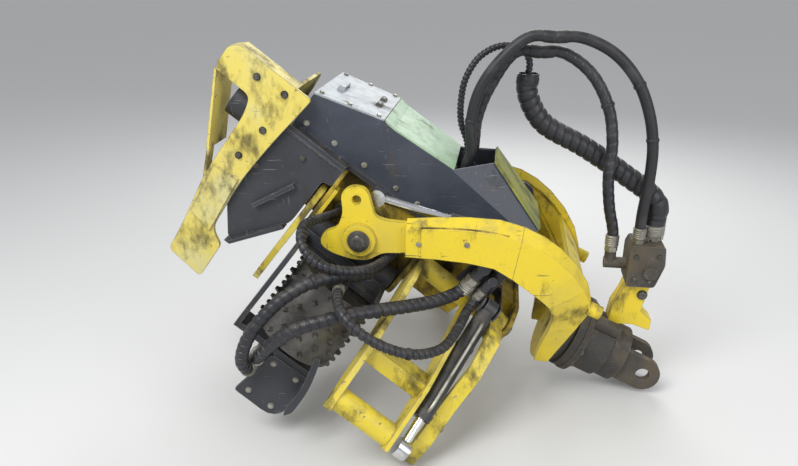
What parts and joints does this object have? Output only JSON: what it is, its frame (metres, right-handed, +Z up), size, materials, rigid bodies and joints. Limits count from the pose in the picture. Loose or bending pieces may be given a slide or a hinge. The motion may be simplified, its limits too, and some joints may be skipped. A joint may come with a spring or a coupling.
{
  "type": "harvester head",
  "caption": "Forestry harvester head with tilt frame and rotator: saw box, spiked feed rollers, curved delimbing knives and hydraulic hoses.",
  "frame": {"origin": "centre of the crane pin bore in the rotator's clevis ears", "axes": "+X level from the saw end to the rotator end, +Y along the crane pin towards the far side, +Z up"},
  "size_m": [1.7581, 1.38, 1.2801],
  "materials": {
    "frame_yellow": "worn gloss",
    "worn_yellow": "worn, dirty",
    "dark_paint": "satin",
    "bare_plate": "brushed, scratched",
    "cover_green": "satin",
    "steel": "dull",
    "saw_steel": "worn",
    "chrome_rod": "polished",
    "hose_black": "matt, spiral wrapped"
  },
  "bodies": {
    "rotator": {"rotator": "dark_paint", "hose_block": "dark_paint", "hose_bracket": "frame_yellow"},
    "tilt_frame": {"tilt_frame": "frame_yellow", "rotor_flange": "dark_paint", "outer_hose_up": "hose_black", "inner_hose_up": "hose_black", "thin_hose": "hose_black", "outer_hose_down": "hose_black", "inner_hose_down": "hose_black", "hose_sleeve": "hose_black", "tilt_arm_right": "frame_yellow", "tilt_arm_left": "frame_yellow"},
    "head": {"main_frame": "frame_yellow", "belly_plate": "frame_yellow", "deck_plate": "dark_paint", "front_nose": "frame_yellow", "side_panel_right": "dark_paint", "side_panel_left": "dark_paint", "pin_bracket_right": "frame_yellow", "pin_bracket_left": "frame_yellow", "tilt_stand_right": "dark_paint", "tilt_stand_left": "dark_paint", "wheel_bearing": "steel", "saw_box": "frame_yellow", "saw_motor": "dark_paint", "valve_block": "steel", "fixed_knife": "worn_yellow", "lifting_lug": "frame_yellow", "cover_side_right": "dark_paint", "cover_side_left": "dark_paint", "cover_rear_plate": "bare_plate", "cover_front_plate": "cover_green", "hose_guard": "dark_paint", "frame_hose": "hose_black", "motor_hose_upper": "hose_black", "motor_hose_lower": "hose_black", "knife_hose": "hose_black"},
    "saw_bar": {"saw_bar": "saw_steel"},
    "measuring_arm": {"measuring_arm": "dark_paint"},
    "measuring_wheel": {"measuring_wheel": "steel"},
    "feed_arm_right": {"roller_arm_right": "dark_paint", "roller_motor_right": "dark_paint"},
    "feed_roller_right": {"feed_roller_right": "steel"},
    "front_knife_right": {"front_knife_right": "worn_yellow"},
    "knife_barrel_right": {"knife_barrel_right": "dark_paint"},
    "knife_rod_right": {"knife_rod_right": "chrome_rod"},
    "rear_knife_right": {"rear_knife_right": "worn_yellow"},
    "tilt_barrel_right": {"tilt_barrel_right": "dark_paint"},
    "tilt_rod_right": {"tilt_rod_right": "chrome_rod"},
    "feed_arm_left": {"roller_arm_left": "dark_paint", "roller_motor_left": "dark_paint"},
    "feed_roller_left": {"feed_roller_left": "steel"},
    "front_knife_left": {"front_knife_left": "worn_yellow"},
    "knife_barrel_left": {"knife_barrel_left": "dark_paint"},
    "knife_rod_left": {"knife_rod_left": "chrome_rod"},
    "rear_knife_left": {"rear_knife_left": "worn_yellow"},
    "tilt_barrel_left": {"tilt_barrel_left": "dark_paint"},
    "tilt_rod_left": {"tilt_rod_left": "chrome_rod"}
  },
  "joints": [
    {"name": "rotate", "type": "hinge", "parent": "rotator", "child": "tilt_frame", "pos_m": [0, 0, 0], "axis": [0.9078, 0, -0.4195], "range_deg": [-170, 170], "deforming": ["outer_hose_down", "inner_hose_down", "hose_sleeve"]},
    {"name": "tilt", "type": "hinge", "parent": "tilt_frame", "child": "head", "pos_m": [-0.985, 0, 0.58], "axis": [0, 1, 0], "range_deg": [-4, 80], "deforming": ["outer_hose_up", "inner_hose_up", "thin_hose", "frame_hose"]},
    {"name": "tilt_barrel_turn_right", "type": "hinge", "parent": "head", "child": "tilt_barrel_right", "pos_m": [-0.46003, -0.278, 0.57423], "axis": [0, 1, 0], "range_deg": [-6.94, 0.82]},
    {"name": "tilt_rod_slide_right", "type": "slide", "parent": "tilt_barrel_right", "child": "tilt_rod_right", "axis": [-0.965, 0, 0.2622], "range_m": [-0.0102, 0.166]},
    {"name": "tilt_barrel_turn_left", "type": "hinge", "parent": "head", "child": "tilt_barrel_left", "pos_m": [-0.46003, 0.278, 0.57423], "axis": [0, 1, 0], "range_deg": [-6.94, 0.82]},
    {"name": "tilt_rod_slide_left", "type": "slide", "parent": "tilt_barrel_left", "child": "tilt_rod_left", "axis": [-0.965, 0, 0.2622], "range_m": [-0.0102, 0.166]},
    {"name": "front_knife_right", "type": "hinge", "parent": "head", "child": "front_knife_right", "pos_m": [-0.58832, -0.19, 0.27562], "axis": [0.7934, 0, -0.6088], "range_deg": [0, 60]},
    {"name": "front_knife_left", "type": "hinge", "parent": "head", "child": "front_knife_left", "pos_m": [-0.58832, 0.19, 0.27562], "axis": [-0.7934, 0, 0.6088], "range_deg": [0, 60]},
    {"name": "knife_barrel_turn_right", "type": "hinge", "parent": "head", "child": "knife_barrel_right", "pos_m": [-0.56766, -0.285, 0.3354], "axis": [0.7934, 0, -0.6088], "range_deg": [-0.5, 58.4]},
    {"name": "knife_rod_slide_right", "type": "slide", "parent": "knife_barrel_right", "child": "knife_rod_right", "axis": [-0.4434, -0.6852, -0.5779], "range_m": [-0.002, 0.1139]},
    {"name": "knife_barrel_turn_left", "type": "hinge", "parent": "head", "child": "knife_barrel_left", "pos_m": [-0.56766, 0.285, 0.3354], "axis": [-0.7934, 0, 0.6088], "range_deg": [-0.5, 58.4]},
    {"name": "knife_rod_slide_left", "type": "slide", "parent": "knife_barrel_left", "child": "knife_rod_left", "axis": [-0.4434, 0.6852, -0.5779], "range_m": [-0.002, 0.1139]},
    {"name": "rear_knife_right", "type": "hinge", "parent": "head", "child": "rear_knife_right", "pos_m": [-1.24708, -0.187, 0.75589], "axis": [0.7934, 0, -0.6088], "range_deg": [-22, 8]},
    {"name": "rear_knife_left", "type": "hinge", "parent": "head", "child": "rear_knife_left", "pos_m": [-1.24708, 0.187, 0.75589], "axis": [-0.7934, 0, 0.6088], "range_deg": [-22, 8]},
    {"name": "feed_arm_right", "type": "hinge", "parent": "head", "child": "feed_arm_right", "pos_m": [-1.05562, -0.205, 0.48797], "axis": [0.7934, 0, -0.6088], "range_deg": [-4, 24], "deforming": ["motor_hose_upper", "motor_hose_lower", "knife_hose"]},
    {"name": "feed_arm_left", "type": "hinge", "parent": "head", "child": "feed_arm_left", "pos_m": [-1.05562, 0.205, 0.48797], "axis": [-0.7934, 0, 0.6088], "range_deg": [-4, 24]},
    {"name": "feed_roller_right", "type": "hinge", "parent": "feed_arm_right", "child": "feed_roller_right", "pos_m": [-1.13203, -0.35522, 0.32268], "axis": [0.5955, 0.2079, 0.776], "continuous": true},
    {"name": "feed_roller_left", "type": "hinge", "parent": "feed_arm_left", "child": "feed_roller_left", "pos_m": [-1.13203, 0.35522, 0.32268], "axis": [0.5955, -0.2079, 0.776], "continuous": true},
    {"name": "saw_swing", "type": "hinge", "parent": "head", "child": "saw_bar", "pos_m": [-1.32611, -0.17, 0.91737], "axis": [0.7934, 0, -0.6088], "range_deg": [0, 85]},
    {"name": "measuring_lift", "type": "hinge", "parent": "head", "child": "measuring_arm", "pos_m": [-1.18139, 0, 0.63616], "axis": [0, 1, 0], "range_deg": [-14, 10], "stiffness_Nm_per_rad": 30, "springref_deg": -17.19},
    {"name": "measuring_wheel", "type": "hinge", "parent": "measuring_arm", "child": "measuring_wheel", "pos_m": [-1.25993, 0.025, 0.64223], "axis": [0, 1, 0], "continuous": true}
  ],
  "couplings": [
    {"joint": "tilt_barrel_turn_right", "follows": "tilt", "ratio": -0.080498},
    {"joint": "tilt_rod_slide_right", "follows": "tilt", "m_per_rad": 0.11747},
    {"joint": "tilt_barrel_turn_left", "follows": "tilt", "ratio": -0.080498},
    {"joint": "tilt_rod_slide_left", "follows": "tilt", "m_per_rad": 0.11747},
    {"joint": "front_knife_left", "follows": "front_knife_right", "ratio": 1},
    {"joint": "knife_barrel_turn_right", "follows": "front_knife_right", "ratio": 0.96495},
    {"joint": "knife_rod_slide_right", "follows": "front_knife_right", "m_per_rad": 0.10688},
    {"joint": "knife_barrel_turn_left", "follows": "front_knife_right", "ratio": 0.96495},
    {"joint": "knife_rod_slide_left", "follows": "front_knife_right", "m_per_rad": 0.10688},
    {"joint": "rear_knife_left", "follows": "rear_knife_right", "ratio": 1},
    {"joint": "feed_arm_left", "follows": "feed_arm_right", "ratio": 1}
  ]
}
